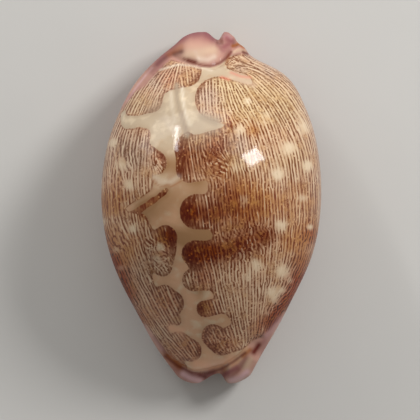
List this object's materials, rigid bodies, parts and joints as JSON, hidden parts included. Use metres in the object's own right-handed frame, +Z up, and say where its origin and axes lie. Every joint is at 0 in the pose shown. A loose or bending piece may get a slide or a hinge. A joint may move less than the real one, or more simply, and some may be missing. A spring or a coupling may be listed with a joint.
{
  "type": "map cowrie shell",
  "caption": "Glossy humped cowrie shell, hollow, with a narrow toothed aperture along its flattened base and a notched canal at each end.",
  "frame": {"origin": "middle of the shell's bounding box at the level of the base it rests on", "axes": "+Z up from the base to the back, +Y along the shell from its front canal to its rear canal and spire, +X towards the inner lip"},
  "size_m": [0.0467, 0.0749, 0.0376],
  "materials": {
    "shell_enamel": "glossy natural shell enamel, brown line pattern on cream with a pale branching band"
  },
  "bodies": {
    "root": {"shell": "shell_enamel"}
  },
  "joints": []
}
